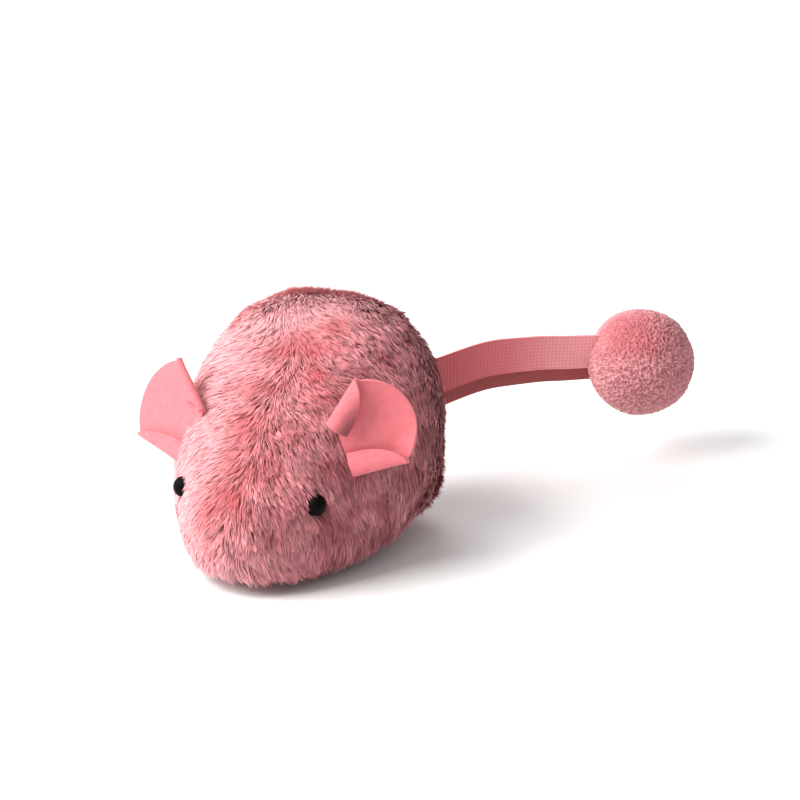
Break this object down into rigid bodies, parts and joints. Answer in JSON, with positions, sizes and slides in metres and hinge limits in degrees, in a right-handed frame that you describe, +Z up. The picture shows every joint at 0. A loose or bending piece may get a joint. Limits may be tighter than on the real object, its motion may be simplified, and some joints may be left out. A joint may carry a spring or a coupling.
{
  "type": "clockwork mouse",
  "caption": "Plush clockwork mouse with cloth ears, bead eyes, side winding key, spring motor driving two wheels, and a ribbon tail with a fleece ball.",
  "frame": {"origin": "on the floor, at the middle of the front glide foot's flat face, in the mouse's middle plane", "axes": "nose along -Y, the mouse's left side +X, +Z up"},
  "size_m": [0.1129, 0.1501, 0.059],
  "materials": {
    "plush_fur": "short-pile plush, combed back, airbrushed coral along the spine",
    "filling": "loose polyester fibre",
    "ear_cloth": "smooth brushed felt, folded at the base",
    "eye_bead": "polished black bead",
    "washer_plastic": "moulded white plastic",
    "chassis_plastic": "moulded, fine spark texture",
    "hem_braid": "flat woven tape",
    "foot_nylon": "polished nylon with rub marks",
    "motor_shell": "moulded grey plastic",
    "plate_steel": "pressed steel plate, brushed",
    "steel": "turned steel",
    "gear_brass": "stamped brass",
    "spring_steel": "blued spring steel",
    "key_plastic": "glossy moulded white plastic",
    "wheel_plastic": "moulded white plastic",
    "tyre_rubber": "ribbed rubber",
    "ribbon": "fine twill elastic webbing",
    "ball_fleece": "curly fleece",
    "ball_foam": "foam"
  },
  "bodies": {
    "mouse": {"plush_cover": "plush_fur", "stuffing": "filling", "left_ear": "ear_cloth", "right_ear": "ear_cloth", "left_eye": "eye_bead", "right_eye": "eye_bead", "eye_washers": "washer_plastic", "chassis_tray": "chassis_plastic", "hem_ring": "hem_braid", "glide_foot": "foot_nylon", "motor_cover": "motor_shell", "cover_screws": "steel", "left_motor_plate": "plate_steel", "right_motor_plate": "plate_steel", "plate_pillars": "steel", "axle_bushes": "gear_brass", "mainspring": "spring_steel", "spring_post": "steel", "key_bush": "chassis_plastic", "tail_anchor": "chassis_plastic", "tail_pin": "steel"},
    "winder": {"winding_key": "key_plastic", "spring_arbor": "steel", "great_wheel": "gear_brass"},
    "idler": {"idler_arbor": "steel", "idler_pinion": "gear_brass", "idler_wheel": "gear_brass"},
    "drive": {"drive_axle": "steel", "axle_pinion": "gear_brass", "left_wheel": "wheel_plastic", "right_wheel": "wheel_plastic", "left_tyre": "tyre_rubber", "right_tyre": "tyre_rubber"},
    "tail_base": {"tail_ribbon_base": "ribbon"},
    "tail_end": {"tail_ribbon_end": "ribbon", "ball_core": "ball_foam", "ball_cover": "ball_fleece"}
  },
  "joints": [
    {"name": "key_wind", "type": "hinge", "parent": "mouse", "child": "winder", "pos_m": [0, 0.035, 0.025], "axis": [1, 0, 0], "range_deg": [-1350, 0], "stiffness_Nm_per_rad": 0.0004},
    {"name": "idler_spin", "type": "hinge", "parent": "mouse", "child": "idler", "pos_m": [0, 0.02438, 0.01751], "axis": [1, 0, 0], "continuous": true},
    {"name": "axle_spin", "type": "hinge", "parent": "mouse", "child": "drive", "pos_m": [0, 0.031, 0.0075], "axis": [1, 0, 0], "continuous": true},
    {"name": "tail_swing", "type": "hinge", "parent": "mouse", "child": "tail_base", "pos_m": [0, 0.0536, 0.0285], "axis": [0, 0, 1], "range_deg": [-20, 70]},
    {"name": "tail_bend", "type": "hinge", "parent": "tail_base", "child": "tail_end", "pos_m": [0.01898, 0.08283, 0.0285], "axis": [0, 0, 1], "range_deg": [-35, 35], "stiffness_Nm_per_rad": 0.002}
  ],
  "couplings": [
    {"joint": "idler_spin", "follows": "key_wind", "ratio": -3.3333},
    {"joint": "axle_spin", "follows": "key_wind", "ratio": 10}
  ]
}
